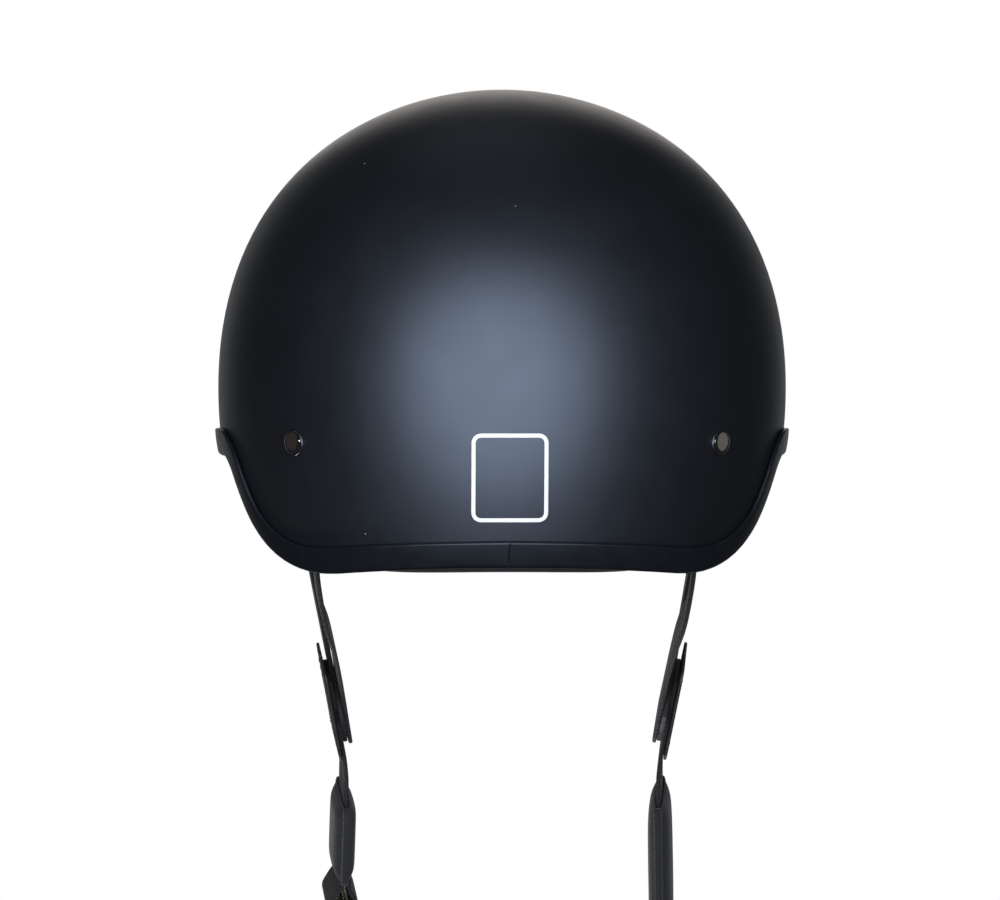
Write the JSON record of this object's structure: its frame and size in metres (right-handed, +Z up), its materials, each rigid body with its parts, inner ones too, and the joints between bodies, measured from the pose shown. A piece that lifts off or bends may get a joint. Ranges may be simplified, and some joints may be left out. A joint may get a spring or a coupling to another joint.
{
  "type": "half shell motorcycle helmet",
  "caption": "Half shell motorcycle helmet with foam, pads, rubber edge trim, domed rivets and two hinged webbing harnesses with double D-ring chin strap.",
  "frame": {"origin": "under the crown, in the middle of the level where the shell is widest, at the head cavity's reference point", "axes": "+Z up to the crown, -Y to the front of the helmet, +X to the wearer's left"},
  "size_m": [0.2282, 0.2738, 0.4444],
  "materials": {
    "shell_lacquer": "satin black lacquer",
    "trim_rubber": "satin",
    "eps_foam": "matt beaded foam",
    "lining_fabric": "brushed nylon",
    "webbing_nylon": "woven",
    "patch_leather": "grained, stitched",
    "rivet_chrome": "polished",
    "nickel_steel": "polished",
    "zinc_steel": "zinc plated",
    "snap_metal": "black oxide",
    "transfer_film": "gloss film with a pale frame"
  },
  "bodies": {
    "helmet": {"outer_shell": "shell_lacquer", "edge_trim": "trim_rubber", "eps_liner": "eps_foam", "rear_decal": "transfer_film", "crown_pad": "lining_fabric", "brow_pad": "lining_fabric", "temple_pad_left": "lining_fabric", "temple_pad_right": "lining_fabric", "nape_pad": "lining_fabric", "rivet_rear_left": "rivet_chrome", "anchor_plate_rear_left": "zinc_steel", "strap_end_rear_left": "webbing_nylon", "rivet_rear_right": "rivet_chrome", "anchor_plate_rear_right": "zinc_steel", "strap_end_rear_right": "webbing_nylon", "rivet_front_left": "rivet_chrome", "anchor_plate_front_left": "zinc_steel", "strap_end_front_left": "webbing_nylon", "rivet_front_right": "rivet_chrome", "anchor_plate_front_right": "zinc_steel", "strap_end_front_right": "webbing_nylon", "rivet_washers": "zinc_steel"},
    "left_harness": {"rear_leg_left": "webbing_nylon", "front_leg_left": "webbing_nylon", "junction_patch_left": "patch_leather", "chin_strap_left": "webbing_nylon", "jaw_pad_left": "lining_fabric"},
    "right_harness": {"rear_leg_right": "webbing_nylon", "front_leg_right": "webbing_nylon", "junction_patch_right": "patch_leather", "chin_strap_right": "webbing_nylon", "jaw_pad_right": "lining_fabric", "snap_cap": "snap_metal", "snap_socket": "snap_metal", "snap_stud": "snap_metal", "snap_post": "snap_metal"},
    "outer_ring": {"d_ring_outer": "nickel_steel"},
    "inner_ring": {"d_ring_inner": "nickel_steel"}
  },
  "joints": [
    {"name": "left_strap_swing", "type": "hinge", "parent": "helmet", "child": "left_harness", "pos_m": [0.08294, -0.03526, -0.04601], "axis": [0.1346, -0.8834, 0.4489], "range_deg": [-10, 85], "stiffness_Nm_per_rad": 0.02, "springref_deg": -8.61},
    {"name": "right_strap_swing", "type": "hinge", "parent": "helmet", "child": "right_harness", "pos_m": [-0.08294, -0.03526, -0.04601], "axis": [0.1346, 0.8834, -0.4489], "range_deg": [-10, 85], "stiffness_Nm_per_rad": 0.02, "springref_deg": -6.55},
    {"name": "outer_ring_tilt", "type": "hinge", "parent": "left_harness", "child": "outer_ring", "pos_m": [0.0672, -0.01784, -0.20521], "axis": [0.1099, -0.9465, 0.3034], "range_deg": [0, 100]},
    {"name": "inner_ring_tilt", "type": "hinge", "parent": "left_harness", "child": "inner_ring", "pos_m": [0.06278, -0.01836, -0.20521], "axis": [-0.1099, 0.9465, -0.3034], "range_deg": [0, 100]}
  ]
}
